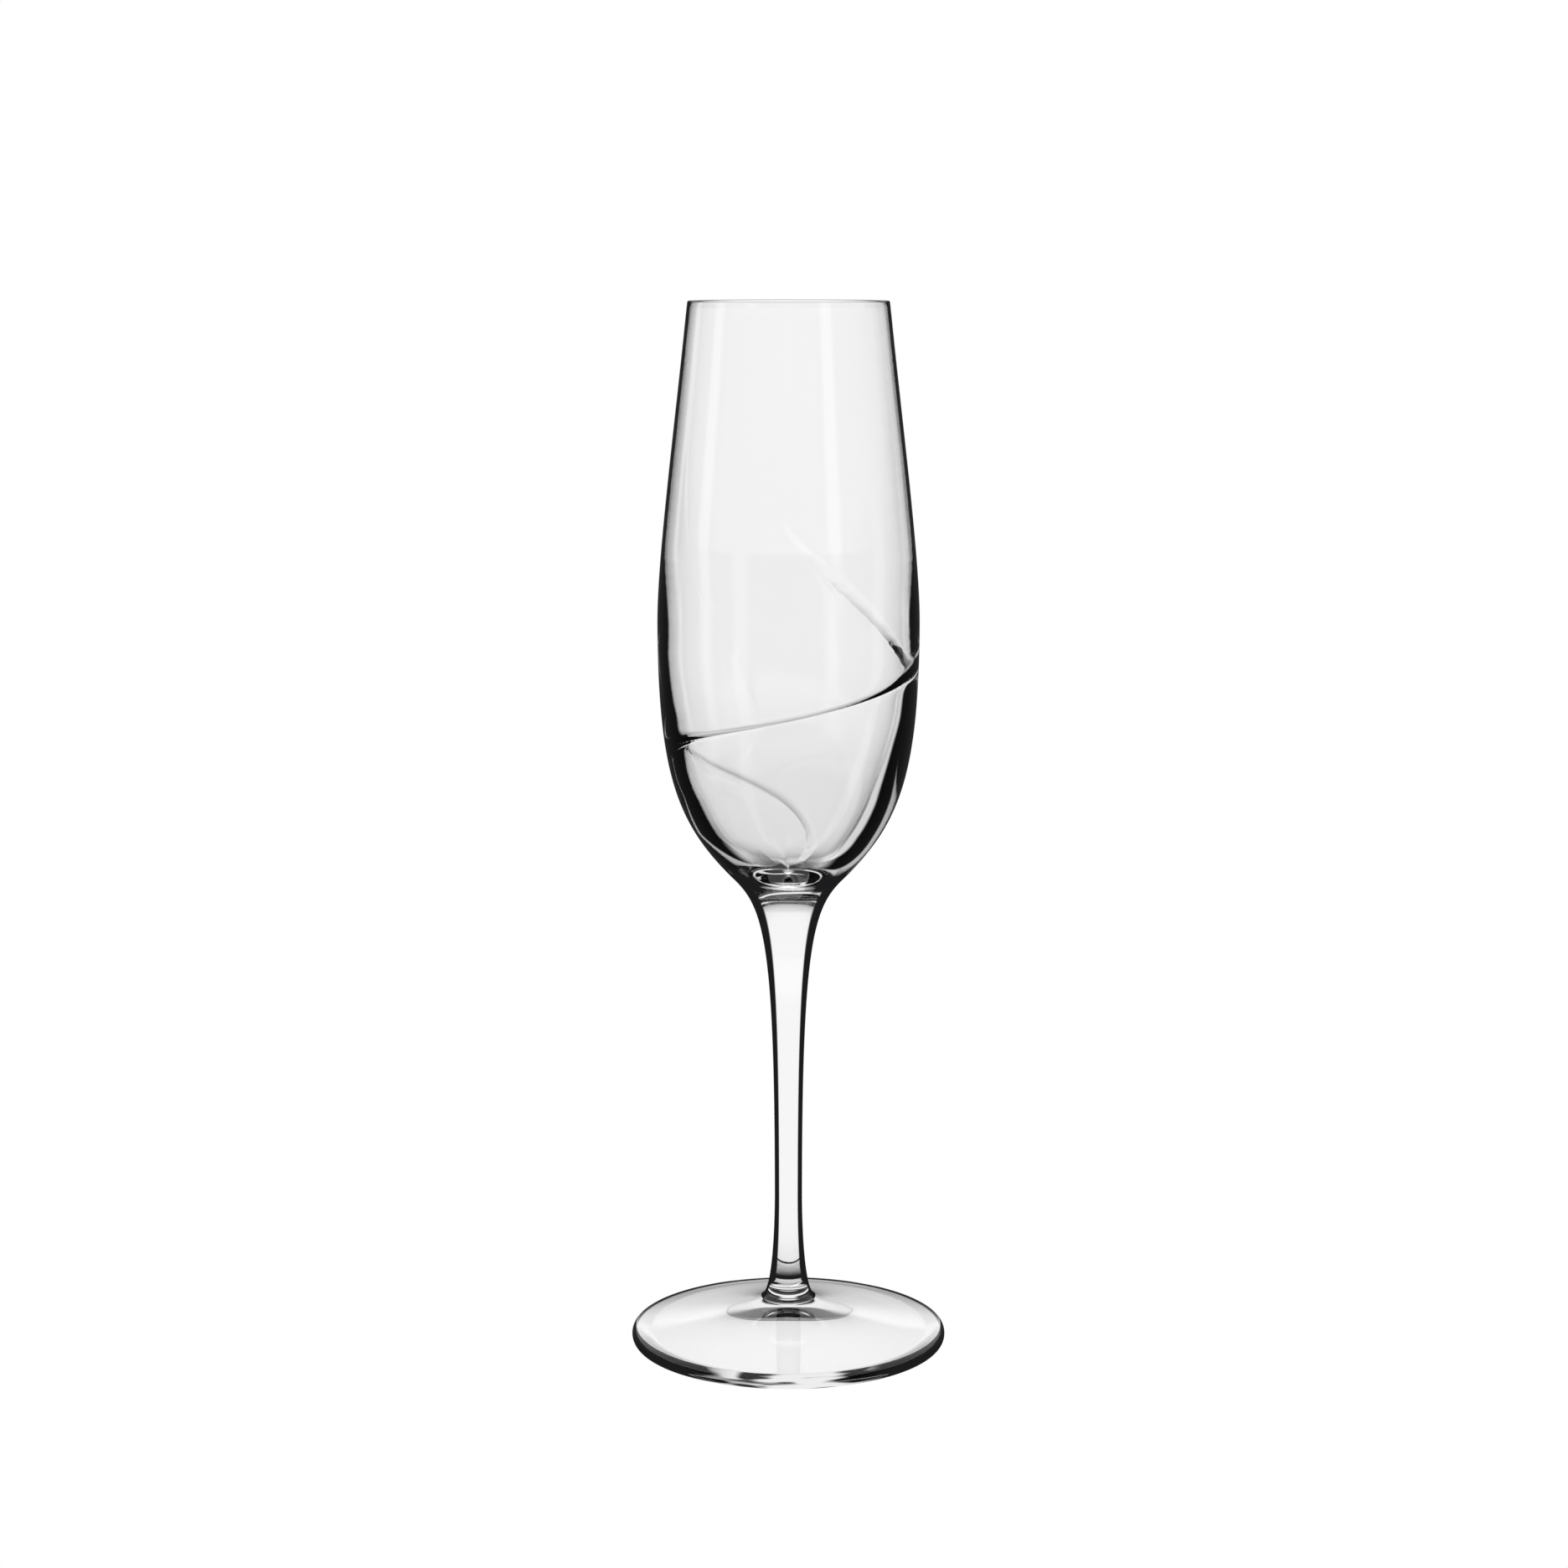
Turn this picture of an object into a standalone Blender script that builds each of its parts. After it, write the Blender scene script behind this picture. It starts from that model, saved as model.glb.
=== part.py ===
"""Champagne flute: a thin blown bowl with a spiral ridge inside, a drawn stem and a round foot.

The flute stands on z = 0 with its axis on Z. All sizes are in metres. The three pieces are turned
from one continuous outer outline, so what joins them stays in line when a size changes.
"""
import math

import bpy
import bmesh
import numpy as np
from mathutils.geometry import interpolate_bezier

# Overall sizes
HEIGHT = 0.235
BOWL_LENGTH = 0.134
FOOT_RADIUS = 0.0357

# Bowl
RIM_RADIUS = 0.0221
RIM_LEAN = math.radians(5.8)
BELLY_RADIUS = 0.0290
BELLY_BELOW_RIM = 0.0705
NECK_RADIUS = 0.0123
NECK_ABOVE_SEAM = 0.0060
NECK_SLOPE = math.radians(45)
RIM_WALL = 0.0007
BELLY_WALL = 0.0022
WALL_THICKENS_FROM = 0.053
WALL_THICKENS_OVER = 0.022
FLOOR_ABOVE_SEAM = 0.0075

# Spiral ridge on the bowl's inner wall
RIDGE_HEIGHT = 0.0014
RIDGE_ROOT = 0.0026
RIDGE_KEY = 0.0007
RIDGE_TOP_BELOW_RIM = 0.038
RIDGE_END_ABOVE_FLOOR = 0.0015
RIDGE_START_ANGLE = math.radians(-15)
RIDGE_TURN = math.radians(420)
RIDGE_MIDDLE_SHARE = 0.398
RIDGE_EVEN_SHARE = 0.236
RIDGE_BEND_AT = 0.3
RIDGE_BEND_ROUND = 0.1
RIDGE_POINTS = 56

# Stem
WAIST_RADIUS = 0.0031
WAIST_ABOVE_FOOT = 0.0242
STEM_BASE_RADIUS = 0.0062
STEM_BASE_ROUND = 0.0006

# Foot
FOOT_PEAK = 0.0095
FOOT_LAND = 0.0001
FOOT_EDGE = 0.0034
FOOT_EDGE_ROUND = 0.0013
FOOT_RING = 0.0030
FOOT_HOLLOW = 0.0046

GLASS_TINT = (0.97, 0.98, 0.98)
GLASS_IOR = 1.52

# Fused seams keep this gap, so that each piece is a solid of its own
SEAM_GAP = 0.0003

# How far each stretch of the outline holds its direction, as a share of its drop
RIM_PULL = 0.34
BELLY_PULL_UP = 0.21
BELLY_PULL_DOWN = 0.59
NECK_PULL_UP = 0.31
NECK_PULL_DOWN = 0.13
WAIST_PULL_UP = 0.80
SPREAD_PULL_DOWN = 0.12
SPREAD_PULL_IN = 0.53
SPREAD_PULL_UP = 0.05
INSIDE_PULL_DOWN = 0.52
FLOOR_PULL_OUT = 0.56

SPAN_STEPS = 10
BOWL_SIDES = 48
STEM_SIDES = 24
FOOT_SIDES = 48

SEAM_Z = HEIGHT - BOWL_LENGTH
BELLY_Z = HEIGHT - BELLY_BELOW_RIM
NECK_Z = SEAM_Z + NECK_ABOVE_SEAM
STEM_BASE_Z = FOOT_PEAK + SEAM_GAP
WAIST_Z = STEM_BASE_Z + WAIST_ABOVE_FOOT
FLOOR_Z = SEAM_Z + FLOOR_ABOVE_SEAM


def clear_scene():
    for obj in list(bpy.data.objects):
        bpy.data.objects.remove(obj, do_unlink=True)


def collection(name):
    made = bpy.data.collections.new(name)
    bpy.context.scene.collection.children.link(made)
    return made


def glass(name):
    """Clear, colourless, polished glass."""
    material = bpy.data.materials.new(name)
    material.use_nodes = True
    shader = material.node_tree.nodes["Principled BSDF"]
    shader.inputs["Base Color"].default_value = (*GLASS_TINT, 1)
    shader.inputs["Roughness"].default_value = 0
    shader.inputs["Metallic"].default_value = 0
    shader.inputs["IOR"].default_value = GLASS_IOR
    shader.inputs["Transmission Weight"].default_value = 1
    return material


def span(start, start_handle, end_handle, end, steps=SPAN_STEPS):
    """Points of one Bezier span, each (radius, z), with both ends."""
    knots = [(radius, 0, z) for radius, z in (start, start_handle, end_handle, end)]
    return [(point.x, point.z) for point in interpolate_bezier(*knots, steps)]


def along(point, distance, slope):
    """The point this far down a line that leans inwards from the vertical by slope."""
    radius, z = point
    return radius - distance * math.sin(slope), z - distance * math.cos(slope)


def joined(*spans):
    """One outline from spans that meet end to start."""
    points = list(spans[0])
    for more in spans[1:]:
        points += more[1:]
    return points


def cut_between(outline, top, bottom):
    """The stretch of a falling outline from z = top to z = bottom, with a point exactly on each."""
    radii, heights = zip(*reversed(outline))
    inside = [point for point in outline if bottom + 1e-5 < point[1] < top - 1e-5]
    return [(np.interp(top, heights, radii), top), *inside, (np.interp(bottom, heights, radii), bottom)]


def outer_outline():
    """The flute's outside from the rim to the stem's base: bowl, neck, flare, waist and spread."""
    round_drop = BELLY_Z - NECK_Z
    stem_drop = NECK_Z - WAIST_Z
    spread_drop = WAIST_Z - STEM_BASE_Z
    rim = (RIM_RADIUS, HEIGHT)
    belly = (BELLY_RADIUS, BELLY_Z)
    neck = (NECK_RADIUS, NECK_Z)
    waist = (WAIST_RADIUS, WAIST_Z)
    base = (STEM_BASE_RADIUS, STEM_BASE_Z + STEM_BASE_ROUND)
    side = span(
        rim,
        along(rim, RIM_PULL * BELLY_BELOW_RIM, -RIM_LEAN),
        (BELLY_RADIUS, BELLY_Z + BELLY_PULL_UP * BELLY_BELOW_RIM),
        belly,
    )
    bottom = span(
        belly,
        (BELLY_RADIUS, BELLY_Z - BELLY_PULL_DOWN * round_drop),
        along(neck, -NECK_PULL_UP * round_drop, NECK_SLOPE),
        neck,
        2 * SPAN_STEPS,
    )
    flare = span(
        neck,
        along(neck, NECK_PULL_DOWN * stem_drop, NECK_SLOPE),
        (WAIST_RADIUS, WAIST_Z + WAIST_PULL_UP * stem_drop),
        waist,
        2 * SPAN_STEPS,
    )
    spread = span(
        waist,
        (WAIST_RADIUS, WAIST_Z - SPREAD_PULL_DOWN * spread_drop),
        (SPREAD_PULL_IN * STEM_BASE_RADIUS, STEM_BASE_Z + SPREAD_PULL_UP * spread_drop),
        base,
    )
    return joined(side, bottom, flare, spread)


def wall_at(z):
    """The bowl's wall above its belly: even and thin at the rim, thicker towards the belly."""
    below = (HEIGHT - WALL_THICKENS_FROM - z) / WALL_THICKENS_OVER
    share = min(max(below, 0), 1)
    return RIM_WALL + (BELLY_WALL - RIM_WALL) * share * share * (3 - 2 * share)


def inner_outline(outer):
    """The bowl's inside from the rim down to the floor's centre."""
    full_z = HEIGHT - WALL_THICKENS_FROM - WALL_THICKENS_OVER
    upper = [(radius - wall_at(z), z) for radius, z in cut_between(outer, HEIGHT, full_z)]
    radius = upper[-1][0]
    depth = full_z - FLOOR_Z
    lower = span(
        (radius, full_z),
        (radius, full_z - INSIDE_PULL_DOWN * depth),
        (FLOOR_PULL_OUT * radius, FLOOR_Z),
        (0, FLOOR_Z),
        2 * SPAN_STEPS,
    )
    return joined(upper, lower)


def turned(name, outline, sides, where, material=None):
    """A solid of revolution. The outline starts and ends on the axis, its outer side running down."""
    mesh = bpy.data.meshes.new(name)
    edges = [(i, i + 1) for i in range(len(outline) - 1)]
    mesh.from_pydata([(radius, 0, z) for radius, z in outline], edges, [])
    obj = bpy.data.objects.new(name, mesh)
    where.objects.link(obj)
    screw = obj.modifiers.new("turn", "SCREW")
    screw.steps = sides
    screw.render_steps = sides
    screw.use_merge_vertices = True
    screw.merge_threshold = 0.00001
    screw.use_smooth_shade = True
    if material:
        mesh.materials.append(material)
    return obj


def ridge_path(inside):
    """Points along the ridge's crest line, each with its size.

    It is a slack spiral that starts steep at the top and bends down again past its middle."""
    radii, heights = zip(*reversed(inside))
    top = HEIGHT - RIDGE_TOP_BELOW_RIM
    end = FLOOR_Z + RIDGE_END_ABOVE_FLOOR
    upper_sweep = 1 - RIDGE_MIDDLE_SHARE - RIDGE_EVEN_SHARE
    whole_bend = 1 - RIDGE_BEND_AT + math.hypot(1 - RIDGE_BEND_AT, RIDGE_BEND_ROUND)
    lower_sweep = (RIDGE_MIDDLE_SHARE - RIDGE_EVEN_SHARE) / whole_bend
    for along in np.linspace(-1, 1, RIDGE_POINTS):
        past_bend = along - RIDGE_BEND_AT
        sweep = upper_sweep * min(along, 0) ** 8
        sweep -= lower_sweep * (past_bend + math.hypot(past_bend, RIDGE_BEND_ROUND))
        z = end + (top - end) * (RIDGE_MIDDLE_SHARE - RIDGE_EVEN_SHARE * along + sweep)
        angle = RIDGE_START_ANGLE + RIDGE_TURN * (along + 1) / 2
        size = 1 - 0.8 * max(-along, 0.4 * along, 0) ** 3
        sunk = 0.4 * RIM_WALL * abs(along) ** 9
        radius = np.interp(z, heights, radii) + sunk
        yield radius * math.sin(angle), radius * math.cos(angle), z, size


def ridge(inside, helpers):
    """The ridge as a solid: a pointed section, keyed into the wall, swept along the crest line."""
    section = bpy.data.curves.new("ridge_section", "CURVE")
    section.dimensions = "2D"
    edge = section.splines.new("POLY")
    edge.points.add(3)
    corners = ((0, RIDGE_ROOT / 2), (RIDGE_HEIGHT, 0), (0, -RIDGE_ROOT / 2), (-RIDGE_KEY, 0))
    for point, (out, up) in zip(edge.points, corners):
        point.co = (out, up, 0, 1)
    edge.use_cyclic_u = True
    section_object = bpy.data.objects.new("ridge_section", section)
    helpers.objects.link(section_object)
    section_object.hide_render = True

    path = bpy.data.curves.new("ridge_path", "CURVE")
    path.dimensions = "3D"
    path.twist_mode = "Z_UP"
    path.bevel_mode = "OBJECT"
    path.bevel_object = section_object
    path.use_fill_caps = True
    line = path.splines.new("POLY")
    points = list(ridge_path(inside))
    line.points.add(len(points) - 1)
    for point, (x, y, z, size) in zip(line.points, points):
        point.co = (x, y, z, 1)
        point.radius = size
    curve_object = bpy.data.objects.new("ridge_path", path)
    helpers.objects.link(curve_object)

    graph = bpy.context.evaluated_depsgraph_get()
    mesh = bpy.data.meshes.new_from_object(curve_object.evaluated_get(graph))
    shape = bmesh.new()
    shape.from_mesh(mesh)
    bmesh.ops.remove_doubles(shape, verts=shape.verts, dist=0.00001)
    bmesh.ops.recalc_face_normals(shape, faces=shape.faces)
    shape.to_mesh(mesh)
    shape.free()
    bpy.data.objects.remove(curve_object)
    obj = bpy.data.objects.new("ridge_shape", mesh)
    helpers.objects.link(obj)
    obj.hide_render = True
    obj.display_type = "WIRE"
    return obj


def make_bowl(outer, parts, helpers):
    inside = inner_outline(outer)
    outside = cut_between(outer, HEIGHT, SEAM_Z + SEAM_GAP)
    outline = [*reversed(inside), *outside, (0, SEAM_Z + SEAM_GAP)]
    bowl = turned("bowl", outline, BOWL_SIDES, parts, glass("bowl_glass"))
    join = bowl.modifiers.new("ridge", "BOOLEAN")
    join.operation = "UNION"
    join.solver = "EXACT"
    join.object = ridge(inside, helpers)
    return bowl


def make_stem(outer, parts):
    side = cut_between(outer, SEAM_Z, STEM_BASE_Z + STEM_BASE_ROUND)
    turn = [math.radians(step) for step in (30, 60, 90)]
    inset = STEM_BASE_RADIUS - STEM_BASE_ROUND
    round_z = STEM_BASE_Z + STEM_BASE_ROUND
    lip = [(inset + STEM_BASE_ROUND * math.cos(a), round_z - STEM_BASE_ROUND * math.sin(a)) for a in turn]
    outline = [(0, SEAM_Z), *side, *lip, (0, STEM_BASE_Z)]
    return turned("stem", outline, STEM_SIDES, parts, glass("stem_glass"))


def make_foot(parts):
    """A low cone with a round edge, a flat ring to stand on and a conical hollow underneath."""
    land = (STEM_BASE_RADIUS + FOOT_LAND, FOOT_PEAK)
    edge_top = (FOOT_RADIUS - FOOT_EDGE_ROUND, FOOT_EDGE)
    reach = edge_top[0] - land[0]
    fall = FOOT_PEAK - FOOT_EDGE
    cone = span(
        land,
        (land[0] + 0.20 * reach, FOOT_PEAK - 0.42 * fall),
        (edge_top[0] - 0.30 * reach, FOOT_EDGE + 0.22 * fall),
        edge_top,
    )
    half = FOOT_EDGE / 2
    turns = [math.radians(angle) for angle in range(60, -91, -30)]
    edge = [(edge_top[0] + FOOT_EDGE_ROUND * math.cos(a), half + half * math.sin(a)) for a in turns]
    ring = FOOT_RADIUS - FOOT_EDGE_ROUND - FOOT_RING
    hollow = span((ring, 0), (0.65 * ring, 0.3 * FOOT_HOLLOW), (0.16 * ring, FOOT_HOLLOW), (0, FOOT_HOLLOW))
    outline = [(0, FOOT_PEAK), *joined(cone, [edge_top, *edge]), *hollow]
    return turned("foot", outline, FOOT_SIDES, parts, glass("foot_glass"))


def main():
    clear_scene()
    parts = collection("champagne_flute")
    helpers = collection("cutters")
    outer = outer_outline()
    make_bowl(outer, parts, helpers)
    make_stem(outer, parts)
    make_foot(parts)


main()
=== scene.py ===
import math

import bmesh
import bpy
import numpy as np
from mathutils.geometry import interpolate_bezier
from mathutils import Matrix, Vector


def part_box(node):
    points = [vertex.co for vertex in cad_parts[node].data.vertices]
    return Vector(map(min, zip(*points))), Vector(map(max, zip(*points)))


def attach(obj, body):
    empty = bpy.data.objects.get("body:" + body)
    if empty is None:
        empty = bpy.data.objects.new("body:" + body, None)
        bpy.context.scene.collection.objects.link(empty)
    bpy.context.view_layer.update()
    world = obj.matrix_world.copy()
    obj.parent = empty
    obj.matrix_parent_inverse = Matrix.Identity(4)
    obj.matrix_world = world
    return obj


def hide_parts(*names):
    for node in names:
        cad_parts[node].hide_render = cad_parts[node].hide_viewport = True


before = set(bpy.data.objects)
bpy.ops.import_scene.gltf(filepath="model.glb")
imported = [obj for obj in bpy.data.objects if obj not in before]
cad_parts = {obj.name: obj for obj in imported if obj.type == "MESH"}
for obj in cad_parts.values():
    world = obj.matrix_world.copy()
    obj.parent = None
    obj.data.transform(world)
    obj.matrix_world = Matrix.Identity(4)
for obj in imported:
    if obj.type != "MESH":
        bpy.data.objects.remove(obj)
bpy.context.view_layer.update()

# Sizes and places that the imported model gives
FOOT_LOW, FOOT_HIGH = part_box("foot")
STEM_LOW, STEM_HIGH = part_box("stem")
BOWL_LOW, BOWL_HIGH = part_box("bowl")
HEIGHT = BOWL_HIGH.z
BELLY_RADIUS = BOWL_HIGH.x
FOOT_RADIUS = FOOT_HIGH.x
SEAM_Z = (STEM_HIGH.z + BOWL_LOW.z) / 2
BASE_SEAM_Z = (FOOT_HIGH.z + STEM_LOW.z) / 2

# Bowl
RIM_RADIUS = 0.0221
RIM_LEAN = math.radians(5.8)
BELLY_BELOW_RIM = 0.0705
NECK_RADIUS = 0.0123
NECK_ABOVE_SEAM = 0.0060
NECK_SLOPE = math.radians(45)
RIM_WALL = 0.0007
BELLY_WALL = 0.0022
WALL_THICKENS_FROM = 0.053
WALL_THICKENS_OVER = 0.022
FLOOR_ABOVE_SEAM = 0.0075

# Spiral ridge on the bowl's inner wall, in the order of the node tree's inputs
RIDGE = {
    "Height": 0.0014,
    "Fillet above": 0.0011,
    "Cut below": 0.0005,
    "Step": 0.0011,
    "Step fades over": 0.020,
    "Groove": 0.0003,
    "Groove above crest": 0.0026,
    "Start angle": math.radians(-15),
    "Turn": math.radians(420),
    "Top": HEIGHT - 0.038,
    "End": SEAM_Z + FLOOR_ABOVE_SEAM + 0.0015,
    "Row": 0.00038,
    "Lean": 0.0012,
}

# The ridge's path: its sweep runs from -1 at its top to 1 at its end
RIDGE_MIDDLE_SHARE = 0.398
RIDGE_EVEN_SHARE = 0.236
RIDGE_TOP_POWER = 8
RIDGE_BEND_AT = 0.3
RIDGE_BEND_ROUND = 0.1
RIDGE_RISES = (-1, -0.92)
RIDGE_FULL = (-0.6, -0.45)
RIDGE_FADES = (0.93, 1)
RIDGE_TOP_SHARE = 0.78

# Where the wall faces back, front, left or right, as a share of its radius, and what changes there
BACK = (-0.2, 0.6)
FRONT = (-0.1, 0.75)
LEFT = (-0.3, 0.7)
RIGHT = (0.75, 1)
BACK_FILLET_GAIN = 0.65
BACK_HEIGHT_GAIN = 0.2
FRONT_HEIGHT_LOSS = 0.55
LEFT_STEP_LOSS = 0.35

# The lower inner wall leans to the left between these heights above the seam
LEAN_STARTS = (0.0080, 0.0185)
LEAN_ENDS = (0.026, 0.044)
LEAN_ON_RIGHT = 0.25

# Rows of the inner wall's mesh, and how they slide onto the ridge's crest
EVEN_ROWS_ABOVE_TOP = 0.006
EVEN_ROWS_ABOVE_END = 0.0035
PLAIN_ROW = 0.0016
FLOOR_ROW = 0.0005
ROWS_SLIDE_WITHIN = (0.0008, 0.0035)
ROWS_SLIDE_SLOPE = (0.45, 0.7)
ROW_PINCH = 0.7
ROW_PINCH_FROM = (0.2, 0.8)
INNER_WALL_FACES = 0.05

# Stem
WAIST_RADIUS = 0.0031
WAIST_ABOVE_FOOT = 0.0242
STEM_BASE_RADIUS = 0.0062
STEM_BASE_ROUND = 0.0006

# Foot
FOOT_EDGE = 0.0034
FOOT_EDGE_ROUND = 0.0013
FOOT_RING = 0.0030
FOOT_HOLLOW = 0.0046
CONE_PULL_OUT = 0.20
CONE_PULL_DOWN = 0.42
CONE_PULL_IN = 0.30
CONE_PULL_UP = 0.22
HOLLOW_PULL_IN = 0.65
HOLLOW_PULL_UP = 0.30
HOLLOW_PULL_OUT = 0.16

# How far each stretch of the outline holds its direction, as a share of its drop
RIM_PULL = 0.34
BELLY_PULL_UP = 0.21
BELLY_PULL_DOWN = 0.59
NECK_PULL_UP = 0.31
NECK_PULL_DOWN = 0.13
WAIST_PULL_UP = 0.80
SPREAD_PULL_DOWN = 0.12
SPREAD_PULL_IN = 0.53
SPREAD_PULL_UP = 0.05
INSIDE_PULL_DOWN = 0.52
FLOOR_PULL_OUT = 0.56

BOWL_SIDES = 240
STEM_SIDES = 128
FOOT_SIDES = 240

BELLY_Z = HEIGHT - BELLY_BELOW_RIM
NECK_Z = SEAM_Z + NECK_ABOVE_SEAM
WAIST_Z = BASE_SEAM_Z + WAIST_ABOVE_FOOT
FLOOR_Z = SEAM_Z + FLOOR_ABOVE_SEAM

# Glass
GLASS_IOR = 1.5
WAVES_PER_METRE = 60
WAVE_DEPTH = 0.00004
# Near-black emission painted as shade where the glass turns from the eye
PAINTED_SHADE_COLOUR = (0.012, 0.012, 0.013, 1)
# White emission painted as streaked highlights on the foot's edge
PAINTED_HIGHLIGHT_STRENGTH = 0.85

# Where round glass turns from the eye, which sets its painted shade and the foot's painted highlights: 0
# facing the eye, 1 edge on
ROUND_SIDE = (0.26, 0.32)
SHADED_COLLAR_SIDE = (0.11, 0.17)
FOOT_SIDE = (0.15, 0.32)
FOOT_FRONT = (0.10, 0.26)

# Heights in the bowl's base, above the seam, that bound its painted shade and its darker painted-shade tint
SOLID_BASE = (0.00735, 0.01135)
THICK_BASE = (0.012, 0.058)
THICK_BASE_PAINTED_SHADE = 0.1
SHADED_COLLAR_STARTS = (0.0036, 0.0048)
SHADED_COLLAR_ENDS = (0.0080, 0.0092)

# Heights in the stem's base, above its seam with the foot, that bound its painted shade: where it clears in
# the spread and a painted dark ring
SPREAD_ENDS = (0.00285, 0.00535)
SPREAD_CLEARS = 0.35
SHADE_RING_STARTS = (0.00535, 0.00565)
SHADE_RING_FADES = (0.00615, 0.01055)
SHADE_RING_POWER = 4

# The foot's edge, with painted shade on its sides and streaked painted highlights in front
EDGE_BAND_FROM = 0.0016
EDGE_BAND_TO = 0.0009
EDGE_DARK_BELOW = (0.0021, 0.0027)
HIGHLIGHT_STREAKS_ROUND = 90
HIGHLIGHT_STREAKS_UP = 800
HIGHLIGHT_STREAK_LIMITS = (0.42, 0.56)

# Studio: angles are in degrees, above or below the horizon
BACKDROP_DIMS_ABOVE = (8, 40)
BACKDROP_ENDS_ABOVE = (34, 46)
BACKDROP_DIMS_BELOW = (18, 32)
BACKDROP_CLEARS_BELOW = (32, 37)
BACKDROP_ENDS_BELOW = (42, 70)
SKY_STARTS = (1, 6)
SKY_DIMS = (17, 20)
TABLE_BELOW = (42, 58)
TABLE_STRENGTH = 0.75
STRIP_BEARINGS = (0, 45, 90, 225)
STRIP_HALF = 7
STRIP_BLUR = 3
STRIP_STRENGTH = 0.85
MIRRORED_ABOVE = (8, 20)
MIRRORED_LOW = 0.05
MIRRORED_HIGH = 0.90
TRAPPED_BOUNCES = (1.2, 1.8)
LOST_BOUNCES = (3.2, 3.8)
FLOOR_HALF = 6.0
FLOOR_GAP = 0.0002
CAMERA_PLACE = (-0.0010, -0.72186, 0.24407)
CAMERA_TILT = math.radians(90 - 9.101)
CAMERA_LENS = 75.32


class Value:
    """A number in a node tree. Arithmetic on it adds Math nodes."""

    def __init__(self, nodes, socket):
        self.nodes = nodes
        self.socket = socket

    def math(self, operation, *others):
        sockets = dict(enumerate((self, *others)))
        return self.nodes.value("ShaderNodeMath", {"operation": operation}, sockets)

    def __add__(self, other):
        return self.math("ADD", other)

    def __sub__(self, other):
        return self.math("SUBTRACT", other)

    def __rsub__(self, other):
        return self * -1 + other

    def __mul__(self, other):
        return self.math("MULTIPLY", other)

    def __truediv__(self, other):
        return self.math("DIVIDE", other)

    def __pow__(self, other):
        return self.math("POWER", other)

    def __neg__(self):
        return self * -1

    __radd__ = __add__
    __rmul__ = __mul__

    def between(self, low, high):
        """0 up to low, 1 from high, and a smooth step from one to the other."""
        sockets = {"Value": self, "From Min": low, "From Max": high}
        return self.nodes.value("ShaderNodeMapRange", {"interpolation_type": "SMOOTHSTEP"}, sockets)


class Nodes:
    """A node tree, with one method that adds any node."""

    def __init__(self, tree):
        self.tree = tree
        tree.nodes.clear()

    def add(self, kind, settings=None, sockets=None, out=0):
        """Adds a node, its settings first, and returns the output named or numbered by out."""
        made = self.tree.nodes.new(kind)
        for name, value in (settings or {}).items():
            setattr(made, name, value)
        for name, value in (sockets or {}).items():
            if isinstance(value, Value):
                value = value.socket
            if isinstance(value, bpy.types.NodeSocket):
                self.tree.links.new(value, made.inputs[name])
            else:
                made.inputs[name].default_value = value
        return made.outputs[out] if len(made.outputs) else made

    def value(self, kind, settings=None, sockets=None, out=0):
        return Value(self, self.add(kind, settings, sockets, out))

    def axes(self, vector):
        return [self.value("ShaderNodeSeparateXYZ", None, {0: vector}, out=axis) for axis in "XYZ"]


def shader_nodes(owner):
    owner.use_nodes = True
    return Nodes(owner.node_tree)


# Outlines: points (radius, z) that run down the outer side
def span(start, start_handle, end_handle, end, steps):
    """Points of one Bezier span, with both ends."""
    knots = [(radius, 0, z) for radius, z in (start, start_handle, end_handle, end)]
    return [(point.x, point.z) for point in interpolate_bezier(*knots, steps)]


def along(point, distance, slope):
    """The point this far down a line that leans inwards from the vertical by slope."""
    radius, z = point
    return radius - distance * math.sin(slope), z - distance * math.cos(slope)


def joined(*spans):
    """One outline from spans that meet end to start."""
    points = list(spans[0])
    for more in spans[1:]:
        points += more[1:]
    return points


def arc(centre, radii, start, end, steps):
    """Points round a quarter or half of an ellipse, from one angle to another in degrees."""
    turns = np.radians(np.linspace(start, end, steps))
    return [(centre[0] + radii[0] * math.cos(a), centre[1] + radii[1] * math.sin(a)) for a in turns]


def cut_between(outline, top, bottom):
    """The stretch of a falling outline between two heights, with a point exactly on each."""
    radii, heights = zip(*reversed(outline))
    inside = [point for point in outline if bottom + 1e-5 < point[1] < top - 1e-5]
    return [(np.interp(top, heights, radii), top), *inside, (np.interp(bottom, heights, radii), bottom)]


def at_heights(outline, heights):
    """Points of a falling outline at these heights."""
    radii, zs = zip(*reversed(outline))
    return [(np.interp(z, zs, radii), z) for z in heights]


def even(outline, step):
    """The same outline with points an even distance apart."""
    points = np.array(outline)
    run = np.concatenate([[0], np.cumsum(np.hypot(*np.diff(points, axis=0).T))])
    at = np.linspace(0, run[-1], max(round(run[-1] / step), 2) + 1)
    return list(zip(np.interp(at, run, points[:, 0]), np.interp(at, run, points[:, 1])))


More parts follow.
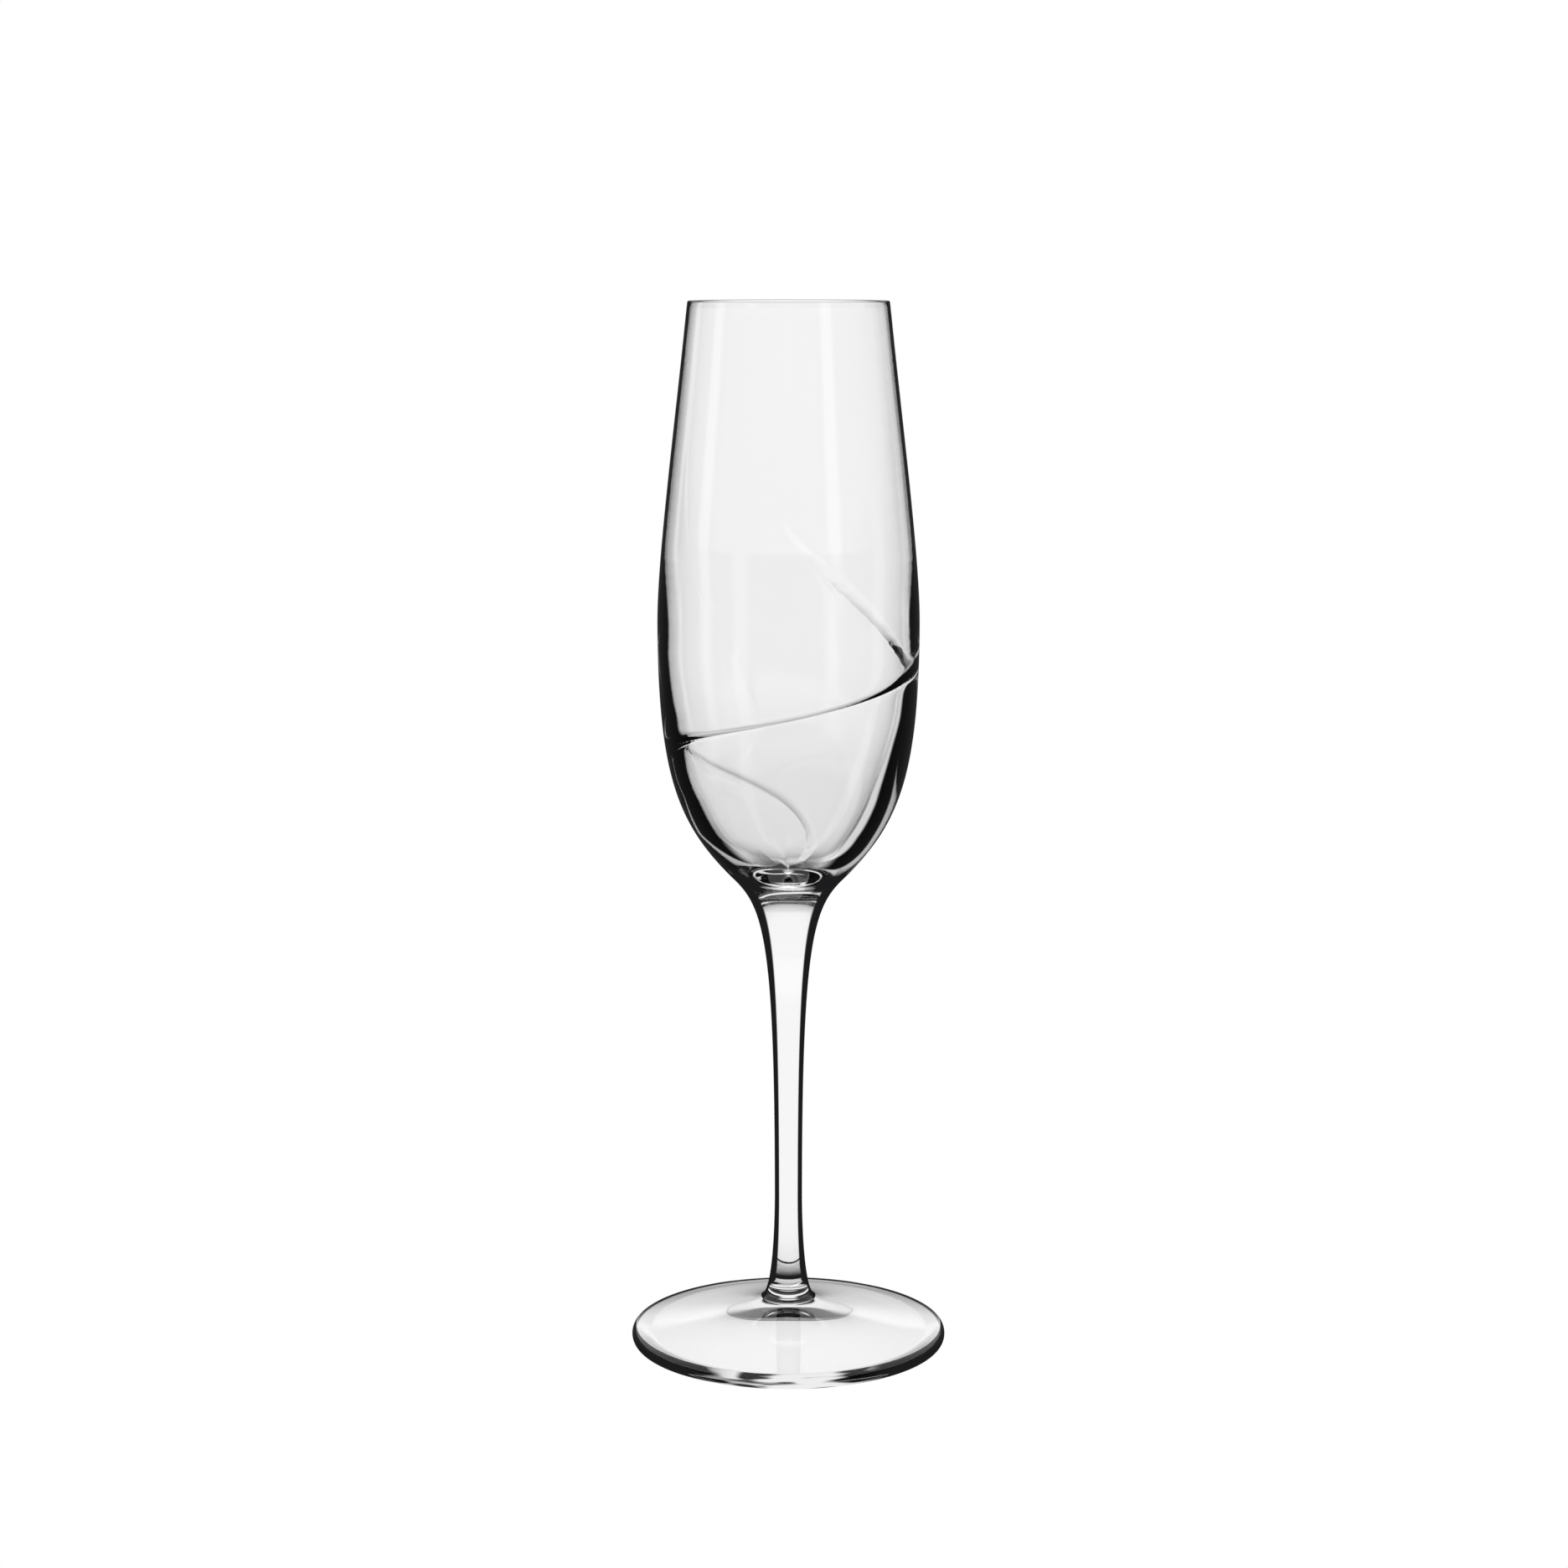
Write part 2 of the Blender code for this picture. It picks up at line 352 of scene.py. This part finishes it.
def outer_outline():
    """The flute's outside from the rim to the stem's base: bowl, neck, flare, waist and spread."""
    round_drop = BELLY_Z - NECK_Z
    stem_drop = NECK_Z - WAIST_Z
    spread_drop = WAIST_Z - BASE_SEAM_Z
    rim = (RIM_RADIUS, HEIGHT)
    belly = (BELLY_RADIUS, BELLY_Z)
    neck = (NECK_RADIUS, NECK_Z)
    waist = (WAIST_RADIUS, WAIST_Z)
    base = (STEM_BASE_RADIUS, BASE_SEAM_Z + STEM_BASE_ROUND)
    side = span(
        rim,
        along(rim, RIM_PULL * BELLY_BELOW_RIM, -RIM_LEAN),
        (BELLY_RADIUS, BELLY_Z + BELLY_PULL_UP * BELLY_BELOW_RIM),
        belly,
        24,
    )
    bottom = span(
        belly,
        (BELLY_RADIUS, BELLY_Z - BELLY_PULL_DOWN * round_drop),
        along(neck, -NECK_PULL_UP * round_drop, NECK_SLOPE),
        neck,
        40,
    )
    flare = span(
        neck,
        along(neck, NECK_PULL_DOWN * stem_drop, NECK_SLOPE),
        (WAIST_RADIUS, WAIST_Z + WAIST_PULL_UP * stem_drop),
        waist,
        100,
    )
    spread = span(
        waist,
        (WAIST_RADIUS, WAIST_Z - SPREAD_PULL_DOWN * spread_drop),
        (SPREAD_PULL_IN * STEM_BASE_RADIUS, BASE_SEAM_Z + SPREAD_PULL_UP * spread_drop),
        base,
        48,
    )
    return joined(side, bottom, flare, spread)


def wall_at(z):
    """The bowl's wall above its belly: even and thin at the rim, thicker towards the belly."""
    below = (HEIGHT - WALL_THICKENS_FROM - z) / WALL_THICKENS_OVER
    share = min(max(below, 0), 1)
    return RIM_WALL + (BELLY_WALL - RIM_WALL) * share * share * (3 - 2 * share)


def inner_outline(outer):
    """The bowl's inside, without its ridge, from the rim to the floor's centre.

    Its rows are an even height apart wherever the ridge runs, down to just above its end, so that
    the ridge can slide one of them onto its crest."""
    full_z = HEIGHT - WALL_THICKENS_FROM - WALL_THICKENS_OVER
    upper = [(radius - wall_at(z), z) for radius, z in cut_between(outer, HEIGHT, full_z)]
    radius = upper[-1][0]
    depth = full_z - FLOOR_Z
    handle = (radius, full_z - INSIDE_PULL_DOWN * depth)
    lower = span((radius, full_z), handle, (FLOOR_PULL_OUT * radius, FLOOR_Z), (0, FLOOR_Z), 400)
    whole = joined(upper, lower)
    row = RIDGE["Row"]
    first = math.floor((RIDGE["Top"] + EVEN_ROWS_ABOVE_TOP) / row)
    last = math.ceil((RIDGE["End"] + EVEN_ROWS_ABOVE_END) / row)
    rows = np.arange(first, last, -1) * row
    plain = even(cut_between(whole, HEIGHT, rows[0]), PLAIN_ROW)
    floor = even([point for point in whole if point[1] <= rows[-1]], FLOOR_ROW)
    return [*plain[:-1], *at_heights(whole, rows), *floor[1:]]


# Meshes
def turned(name, outline, sides, caps=()):
    """A closed solid of revolution. The outline runs from axis to axis with its outer side falling.

    caps holds the heights of fused seams: their faces get the second material slot."""
    shape = bmesh.new()
    rings = []
    for radius, z in outline:
        if radius < 1e-7:
            rings.append([shape.verts.new((0, 0, z))])
            continue
        turns = (math.tau * side / sides for side in range(sides))
        rings.append([shape.verts.new((radius * math.cos(a), radius * math.sin(a), z)) for a in turns])
    for upper, lower in zip(rings, rings[1:]):
        for side in range(sides):
            after = (side + 1) % sides
            if len(upper) == 1:
                corners = (upper[0], lower[side], lower[after])
            elif len(lower) == 1:
                corners = (upper[side], lower[0], upper[after])
            else:
                corners = (upper[side], lower[side], lower[after], upper[after])
            face = shape.faces.new(corners)
            face.smooth = True
            face.material_index = int(any(all(abs(v.co.z - z) < 1e-6 for v in corners) for z in caps))
    for edge in shape.edges:
        linked = edge.link_faces
        if linked[0].material_index != linked[1].material_index:
            edge.smooth = False
    mesh = bpy.data.meshes.new(name)
    shape.to_mesh(mesh)
    shape.free()
    obj = bpy.data.objects.new(name, mesh)
    bpy.context.scene.collection.objects.link(obj)
    return obj


def ridge_crest(size, share, radius):
    """The crest's height at a share of the sweep, and how level it runs there: 1 is level.

    It falls fast at first, evenly in the middle, and bends down once more before its end."""
    fall = size["Top"] - size["End"]
    upper = share.math("MINIMUM", 0)
    upper_sweep = 1 - RIDGE_MIDDLE_SHARE - RIDGE_EVEN_SHARE
    whole_bend = 1 - RIDGE_BEND_AT + math.hypot(1 - RIDGE_BEND_AT, RIDGE_BEND_ROUND)
    lower_sweep = (RIDGE_MIDDLE_SHARE - RIDGE_EVEN_SHARE) / whole_bend
    past_bend = share - RIDGE_BEND_AT
    bend_round = (past_bend * past_bend + RIDGE_BEND_ROUND**2) ** 0.5
    level = RIDGE_MIDDLE_SHARE - RIDGE_EVEN_SHARE * share + upper_sweep * upper**RIDGE_TOP_POWER
    level = level - (past_bend + bend_round) * lower_sweep
    steepness = upper ** (RIDGE_TOP_POWER - 1) * (RIDGE_TOP_POWER * upper_sweep)
    steepness = steepness - (past_bend / bend_round + 1) * lower_sweep - RIDGE_EVEN_SHARE
    slope = fall * steepness * 2 / size["Turn"] / radius
    return size["End"] + fall * level, (slope * slope + 1) ** -0.5


def ridge_turn(nodes, size, place, facing, turn):
    """One turn of the ridge: how far it lifts the wall, and how far it slides the wall's rows.

    place holds x, y and z, and facing the wall's normal in the same way."""
    x, y, z = place
    across_wall = (facing[0] * facing[0] + facing[1] * facing[1]) ** 0.5
    radius = (x * x + y * y) ** 0.5
    swept = (x.math("ARCTAN2", y) - size["Start angle"]).math("FLOORED_MODULO", math.tau) + math.tau * turn
    share = swept / size["Turn"] * 2 - 1
    there = share.math("LESS_THAN", 1)
    share = share.math("MINIMUM", 1)
    crest, level_share = ridge_crest(size, share, radius)

    rows = crest / size["Row"]
    off_row = (rows - rows.math("ROUND")) * size["Row"]
    from_crest = z - crest + off_row
    near = 1 - from_crest.math("ABSOLUTE").between(*ROWS_SLIDE_WITHIN)
    steps_off = from_crest.math("ABSOLUTE") / size["Row"]
    pinch = from_crest.math("SIGN") * (1 - steps_off).math("EXPONENT") * (-ROW_PINCH * size["Row"])
    pinch = pinch * steps_off.between(*ROW_PINCH_FROM)
    slide = (off_row + pinch) * near * there * level_share.between(*ROWS_SLIDE_SLOPE)

    back = (y / radius).between(*BACK)
    front = (-y / radius).between(*FRONT)
    right = (x / radius).between(*RIGHT)
    distance = (z + slide - crest) * level_share / across_wall
    above = distance.math("MAXIMUM", 0)
    below = (-distance).math("MAXIMUM", 0)
    fillet = size["Fillet above"] * (1 + BACK_FILLET_GAIN * back)
    over = size["Height"] * (-above / fillet).math("EXPONENT")
    full_step = size["Step"] * (1 + LEFT_STEP_LOSS * (x / radius).math("MINIMUM", 0))
    step = full_step * (-below / size["Step fades over"]).math("EXPONENT")
    under = step + (size["Height"] - full_step) * (-below / size["Cut below"]).math("EXPONENT")
    hollow = (distance - size["Groove above crest"]) / fillet
    groove = size["Groove"] * (-(hollow * hollow) / 2).math("EXPONENT") * right
    grown = RIDGE_TOP_SHARE + (1 - RIDGE_TOP_SHARE) * share.between(*RIDGE_FULL)
    grown = grown * share.between(*RIDGE_RISES) * (1 - share.between(*RIDGE_FADES))
    grown = grown * (1 - FRONT_HEIGHT_LOSS * front + BACK_HEIGHT_GAIN * back)
    lift = (over.math("MINIMUM", under) - groove) * grown * there
    return lift, slide


def lean_left(size, place, radius):
    """How far the lower wall stands to the left, most on its left side."""
    x, _, z = place
    above_seam = z - SEAM_Z
    low = above_seam.between(*LEAN_STARTS) * (1 - above_seam.between(*LEAN_ENDS))
    left = (-x / radius).between(*LEFT)
    return size["Lean"] * low * (LEAN_ON_RIGHT + (1 - LEAN_ON_RIGHT) * left)


def ridge_tree(glass, seam):
    """Geometry nodes that raise the spiral ridge on a turned bowl's inner wall, and lean that wall."""
    tree = bpy.data.node_groups.new("spiral_ridge", "GeometryNodeTree")
    tree.is_modifier = True
    tree.interface.new_socket(name="Geometry", in_out="INPUT", socket_type="NodeSocketGeometry")
    for name in RIDGE:
        tree.interface.new_socket(name=name, in_out="INPUT", socket_type="NodeSocketFloat")
    tree.interface.new_socket(name="Geometry", in_out="OUTPUT", socket_type="NodeSocketGeometry")
    nodes = Nodes(tree)
    given = tree.nodes.new("NodeGroupInput")
    size = {name: Value(nodes, given.outputs[name]) for name in RIDGE}
    normal = nodes.add("GeometryNodeInputNormal")
    place = nodes.axes(nodes.add("GeometryNodeInputPosition"))
    facing = nodes.axes(normal)
    x, y, z = place
    radius = (x * x + y * y) ** 0.5
    outwards = (x * facing[0] + y * facing[1]) / radius
    inner = outwards.math("LESS_THAN", -INNER_WALL_FACES)
    turns = [ridge_turn(nodes, size, place, facing, turn) for turn in range(2)]
    lift = (turns[0][0] + turns[1][0]) * inner
    slide = (turns[0][1] + turns[1][1]) * inner
    sideways = slide * facing[2] / (-outwards).math("MAXIMUM", INNER_WALL_FACES) / radius
    slid = nodes.add("ShaderNodeCombineXYZ", None, {"X": x * sideways, "Y": y * sideways, "Z": slide})
    lifted = nodes.add("ShaderNodeVectorMath", {"operation": "SCALE"}, {0: normal, "Scale": lift})
    offset = nodes.add("ShaderNodeVectorMath", {"operation": "ADD"}, {0: slid, 1: lifted})
    lean = lean_left(size, place, radius) * inner
    leant = nodes.add("ShaderNodeCombineXYZ", None, {"X": -lean})
    offset = nodes.add("ShaderNodeVectorMath", {"operation": "ADD"}, {0: offset, 1: leant})
    wall = given.outputs["Geometry"]
    moved = nodes.add("GeometryNodeSetPosition", None, {"Geometry": wall, "Offset": offset})
    cut = nodes.add("GeometryNodeTriangulate", {"quad_method": "SHORTEST_DIAGONAL"}, {"Mesh": moved})
    real = nodes.add("GeometryNodeRealizeInstances", None, {"Geometry": cut})
    clear = nodes.add("GeometryNodeSetMaterial", None, {"Geometry": real, "Material": glass})
    at_seam = z.math("LESS_THAN", SEAM_Z + 1e-6)
    sealed = {"Geometry": clear, "Selection": at_seam, "Material": seam}
    done = nodes.add("GeometryNodeSetMaterial", None, sealed)
    nodes.add("NodeGroupOutput", None, {"Geometry": done})
    return tree


def raise_ridge(bowl, glass, seam):
    """Runs the ridge's node tree on the bowl and keeps the result as a plain mesh."""
    modifier = bowl.modifiers.new("ridge", "NODES")
    tree = ridge_tree(glass, seam)
    modifier.node_group = tree
    for socket in tree.interface.items_tree:
        if socket.in_out == "INPUT" and socket.name in RIDGE:
            modifier[socket.identifier] = RIDGE[socket.name]
    graph = bpy.context.evaluated_depsgraph_get()
    mesh = bpy.data.meshes.new_from_object(bowl.evaluated_get(graph))
    bowl.modifiers.remove(modifier)
    bowl.data = mesh


def make_bowl(outer, glass, seam):
    """A thin wall with a round lip, solid below the floor and flat at its seam."""
    inside = inner_outline(outer)
    outside = cut_between(outer, HEIGHT, SEAM_Z)
    lip_out, lip_in = outside[0][0], inside[0][0]
    half = (lip_out - lip_in) / 2
    lip = arc((lip_out - half, HEIGHT - half), (half, half), 180, 0, 9)
    inside = [point for point in inside if point[1] < HEIGHT - half]
    outside = [point for point in outside if point[1] < HEIGHT - half]
    outline = [*reversed(inside), *lip, *outside, (0, SEAM_Z)]
    bowl = turned("flute_bowl", outline, BOWL_SIDES, caps=(SEAM_Z,))
    raise_ridge(bowl, glass, seam)
    return bowl


def make_stem(outer, glass, seam):
    """Solid glass with a rounded base, flat at both seams."""
    round_z = BASE_SEAM_Z + STEM_BASE_ROUND
    inset = STEM_BASE_RADIUS - STEM_BASE_ROUND
    side = cut_between(outer, SEAM_Z, round_z)
    lip = arc((inset, round_z), (STEM_BASE_ROUND, STEM_BASE_ROUND), 0, -90, 7)
    outline = [(0, SEAM_Z), *joined(side, lip), (0, BASE_SEAM_Z)]
    stem = turned("flute_stem", outline, STEM_SIDES, caps=(SEAM_Z, BASE_SEAM_Z))
    stem.data.materials.append(glass)
    stem.data.materials.append(seam)
    return stem


def make_foot(glass, seam):
    """A low cone with a round edge, a ring to stand on and a cone-shaped hollow underneath."""
    land = (STEM_BASE_RADIUS - STEM_BASE_ROUND, BASE_SEAM_Z)
    edge_top = (FOOT_RADIUS - FOOT_EDGE_ROUND, FOOT_EDGE)
    reach = edge_top[0] - land[0]
    fall = BASE_SEAM_Z - FOOT_EDGE
    cone = span(
        land,
        (land[0] + CONE_PULL_OUT * reach, BASE_SEAM_Z - CONE_PULL_DOWN * fall),
        (edge_top[0] - CONE_PULL_IN * reach, FOOT_EDGE + CONE_PULL_UP * fall),
        edge_top,
        64,
    )
    edge = arc((edge_top[0], FOOT_EDGE / 2), (FOOT_EDGE_ROUND, FOOT_EDGE / 2), 90, -90, 25)
    ring = FOOT_RADIUS - FOOT_EDGE_ROUND - FOOT_RING
    hollow = span(
        (ring, 0),
        (HOLLOW_PULL_IN * ring, HOLLOW_PULL_UP * FOOT_HOLLOW),
        (HOLLOW_PULL_OUT * ring, FOOT_HOLLOW),
        (0, FOOT_HOLLOW),
        48,
    )
    outline = [(0, BASE_SEAM_Z), *joined(cone, edge), *hollow]
    foot = turned("flute_foot", outline, FOOT_SIDES, caps=(BASE_SEAM_Z,))
    foot.data.materials.append(glass)
    foot.data.materials.append(seam)
    return foot


# Materials
def glass_surface(nodes, painted_shade_share, shaded_clearness=1.0, painted_highlight=None):
    """Clear glass with a near-black emission mixed in as painted shade, and a white emission mixed in as
    painted highlight where one is given; and the material's output.
    """
    # The glass's colour, lowered only where a painted shade tint is given
    tint = nodes.add("ShaderNodeCombineXYZ", None, {"X": shaded_clearness, "Y": shaded_clearness, "Z": shaded_clearness})
    place = nodes.add("ShaderNodeTexCoord", out="Object")
    waves = nodes.add("ShaderNodeTexNoise", None, {"Vector": place, "Scale": WAVES_PER_METRE, "Detail": 1.0})
    wavy = nodes.add("ShaderNodeBump", None, {"Height": waves, "Distance": WAVE_DEPTH, "Strength": 1.0})
    glass = nodes.add(
        "ShaderNodeBsdfPrincipled",
        None,
        {
            "Base Color": tint,
            "Roughness": 0.0,
            "IOR": GLASS_IOR,
            "Transmission Weight": 1.0,
            "Normal": wavy,
        },
    )
    # A near-black emission: painted shade mixed into the glass
    dark = nodes.add("ShaderNodeEmission", None, {"Color": PAINTED_SHADE_COLOUR, "Strength": 1.0})
    surface = nodes.add("ShaderNodeMixShader", None, {0: painted_shade_share, 1: glass, 2: dark})
    if painted_highlight:
        # A white emission: painted highlight mixed into the glass
        pale = nodes.add("ShaderNodeEmission", None, {"Color": (1, 1, 1, 1), "Strength": PAINTED_HIGHLIGHT_STRENGTH})
        surface = nodes.add("ShaderNodeMixShader", None, {0: painted_highlight, 1: surface, 2: pale})
    nodes.add("ShaderNodeOutputMaterial", None, {"Surface": surface})


def round_side(nodes, x, y):
    """How far the glass is turned away about the flute's axis: 0 facing the eye, 1 edge on."""
    radial = nodes.add("ShaderNodeCombineXYZ", None, {"X": x, "Y": y})
    radial = nodes.add("ShaderNodeVectorMath", {"operation": "NORMALIZE"}, {0: radial})
    return nodes.value("ShaderNodeLayerWeight", None, {"Blend": 0.5, "Normal": radial}, out="Facing")


def bowl_glass():
    """Blown glass. Painted shade: a near-black emission darkens its solid base at the sides, and more in a
    band near the seam; its lower part is also tinted darker as painted shade.
    """
    material = bpy.data.materials.new("blown_bowl_glass")
    nodes = shader_nodes(material)
    x, y, z = nodes.axes(nodes.add("ShaderNodeTexCoord", out="Object"))
    entering = 1 - nodes.value("ShaderNodeNewGeometry", out="Backfacing")
    above_seam = z - SEAM_Z
    solid = 1 - above_seam.between(*SOLID_BASE)
    thick = 1 - above_seam.between(*THICK_BASE)
    shaded_collar = above_seam.between(*SHADED_COLLAR_STARTS) * (1 - above_seam.between(*SHADED_COLLAR_ENDS))
    side = round_side(nodes, x, y)
    dark = side.between(*ROUND_SIDE) * solid
    # Painted shade on the base's sides and in the band near the seam
    dark = dark.math("MAXIMUM", side.between(*SHADED_COLLAR_SIDE) * shaded_collar) * entering
    # The thick lower bowl is tinted darker, a painted shade
    glass_surface(nodes, dark, 1 - THICK_BASE_PAINTED_SHADE * thick)
    return material


def stem_glass():
    """Drawn glass with painted shade: a near-black emission where its round side turns from the eye, in
    place of light bent away, and a painted dark ring low down.
    """
    material = bpy.data.materials.new("drawn_stem_glass")
    nodes = shader_nodes(material)
    x, y, z = nodes.axes(nodes.add("ShaderNodeTexCoord", out="Object"))
    entering = 1 - nodes.value("ShaderNodeNewGeometry", out="Backfacing")
    above_foot = z - BASE_SEAM_Z
    spread = 1 - above_foot.between(*SPREAD_ENDS)
    side = (round_side(nodes, x, y) - SPREAD_CLEARS * spread).between(*ROUND_SIDE)
    # A painted shade ring low on the stem
    ring = (1 - above_foot.between(*SHADE_RING_FADES)) ** SHADE_RING_POWER * above_foot.between(*SHADE_RING_STARTS)
    glass_surface(nodes, side.math("MAXIMUM", ring) * entering)
    return material


def foot_glass():
    """Pressed glass with painted shade, a near-black emission along the sides of its round edge, and painted
    highlights, a streaked white emission along its edge in front.
    """
    material = bpy.data.materials.new("pressed_foot_glass")
    nodes = shader_nodes(material)
    x, y, z = nodes.axes(nodes.add("ShaderNodeTexCoord", out="Object"))
    radius = (x * x + y * y) ** 0.5
    entering = 1 - nodes.value("ShaderNodeNewGeometry", out="Backfacing")
    at_edge = radius.between(FOOT_RADIUS - EDGE_BAND_FROM, FOOT_RADIUS - EDGE_BAND_TO)
    side = round_side(nodes, x, y)
    stretched = {"X": x * HIGHLIGHT_STREAKS_ROUND, "Y": y * HIGHLIGHT_STREAKS_ROUND, "Z": z * HIGHLIGHT_STREAKS_UP}
    place = nodes.add("ShaderNodeCombineXYZ", None, stretched)
    highlight_streaks = nodes.value("ShaderNodeTexNoise", None, {"Vector": place, "Scale": 1.0, "Detail": 1.0})
    # Streaked painted highlights in front and painted shade on the sides of the edge
    painted_highlight = at_edge * entering * (1 - side.between(*FOOT_FRONT)) * highlight_streaks.between(*HIGHLIGHT_STREAK_LIMITS)
    dark = at_edge * side.between(*FOOT_SIDE) * (1 - z.between(*EDGE_DARK_BELOW))
    glass_surface(nodes, dark, painted_highlight=painted_highlight)
    return material


def fused_seam():
    """Nothing shows where two pieces are fused."""
    material = bpy.data.materials.new("fused_seam")
    nodes = shader_nodes(material)
    clear = nodes.add("ShaderNodeBsdfTransparent")
    nodes.add("ShaderNodeOutputMaterial", None, {"Surface": clear})
    return material


# Studio
def make_floor():
    """A white floor that isn't mirrored in the glass or seen through it."""
    mesh = bpy.data.meshes.new("floor")
    corners = [(x * FLOOR_HALF, y * FLOOR_HALF, 0) for x, y in ((-1, -1), (1, -1), (1, 1), (-1, 1))]
    mesh.from_pydata(corners, [], [(0, 1, 2, 3)])
    floor = bpy.data.objects.new("floor", mesh)
    floor.location.z = -FLOOR_GAP
    bpy.context.scene.collection.objects.link(floor)
    floor.visible_glossy = False
    floor.visible_transmission = False
    material = bpy.data.materials.new("pale_floor")
    nodes = shader_nodes(material)
    pale = nodes.add("ShaderNodeEmission", None, {"Color": (1, 1, 1, 1), "Strength": 1.0})
    nodes.add("ShaderNodeOutputMaterial", None, {"Surface": pale})
    mesh.materials.append(material)


def dimmed(angle, limits, loss):
    """1 up to the first limit and less by loss past the second."""
    return 1 - loss * angle.between(*limits)


def make_world():
    """White seen directly, a white backdrop seen through the glass, and dark mirrored in it.

    Light trapped in a wall comes from a dark room with a pale sky, a table and narrow strip lights,
    until it has bounced so often that it is lost."""
    world = bpy.data.worlds.new("studio")
    bpy.context.scene.world = world
    nodes = shader_nodes(world)
    through = nodes.value("ShaderNodeLightPath", out="Is Transmission Ray")
    mirrored = nodes.value("ShaderNodeLightPath", out="Is Glossy Ray") * (1 - through)
    bounces = nodes.value("ShaderNodeLightPath", out="Ray Depth")
    passed = nodes.value("ShaderNodeLightPath", out="Transmission Depth")
    trapped = (bounces - passed).between(*TRAPPED_BOUNCES)
    lost = (bounces - passed).between(*LOST_BOUNCES)
    x, y, z = nodes.axes(nodes.add("ShaderNodeTexCoord", out="Generated"))
    up = z.math("ARCSINE") * math.degrees(1)
    down = -up
    bearing = x.math("ARCTAN2", y) * math.degrees(1)
    strips = 0
    for strip in STRIP_BEARINGS:
        off = (bearing - strip).math("WRAP", 180, -180).math("ABSOLUTE")
        strips = strips + (1 - off.between(STRIP_HALF - STRIP_BLUR, STRIP_HALF + STRIP_BLUR))
    below = dimmed(down, BACKDROP_DIMS_BELOW, 0.4) + 0.25 * down.between(*BACKDROP_CLEARS_BELOW)
    backdrop = dimmed(up, BACKDROP_DIMS_ABOVE, 0.4) * dimmed(up, BACKDROP_ENDS_ABOVE, 0.9)
    backdrop = backdrop * below * dimmed(down, BACKDROP_ENDS_BELOW, 0.6)
    sky = up.between(*SKY_STARTS) * backdrop * dimmed(up, SKY_DIMS, 0.8)
    table = down.between(*TABLE_BELOW) * TABLE_STRENGTH
    inside = sky + table + (1 - up.between(*SKY_STARTS)) * strips * STRIP_STRENGTH
    seen = backdrop * (1 - trapped) + trapped * inside * (1 - lost)
    reflected = MIRRORED_LOW + (MIRRORED_HIGH - MIRRORED_LOW) * up.between(*MIRRORED_ABOVE)
    strength = through * seen + mirrored * reflected + (1 - through - mirrored)
    light = nodes.add("ShaderNodeBackground", None, {"Color": (1, 1, 1, 1), "Strength": strength})
    nodes.add("ShaderNodeOutputWorld", None, {"Surface": light})


def make_camera():
    """In front of the glass, a little above its rim, looking slightly down."""
    data = bpy.data.cameras.new("camera")
    data.sensor_width = 36
    data.lens = CAMERA_LENS
    data.clip_start = 0.01
    data.clip_end = 50
    camera = bpy.data.objects.new("camera", data)
    bpy.context.scene.collection.objects.link(camera)
    camera.location = CAMERA_PLACE
    camera.rotation_euler = (CAMERA_TILT, 0, 0)
    bpy.context.scene.camera = camera


def main():
    outer = outer_outline()
    seam = fused_seam()
    pieces = {
        "bowl": make_bowl(outer, bowl_glass(), seam),
        "stem": make_stem(outer, stem_glass(), seam),
        "foot": make_foot(foot_glass(), seam),
    }
    for part, piece in pieces.items():
        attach(piece, "root")
        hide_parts(part)
    make_floor()
    make_world()
    make_camera()
    scene = bpy.context.scene
    scene.view_settings.view_transform = "Standard"
    scene.cycles.max_bounces = 32
    scene.cycles.transmission_bounces = 32
    scene.cycles.glossy_bounces = 16
    scene.cycles.transparent_max_bounces = 16


main()
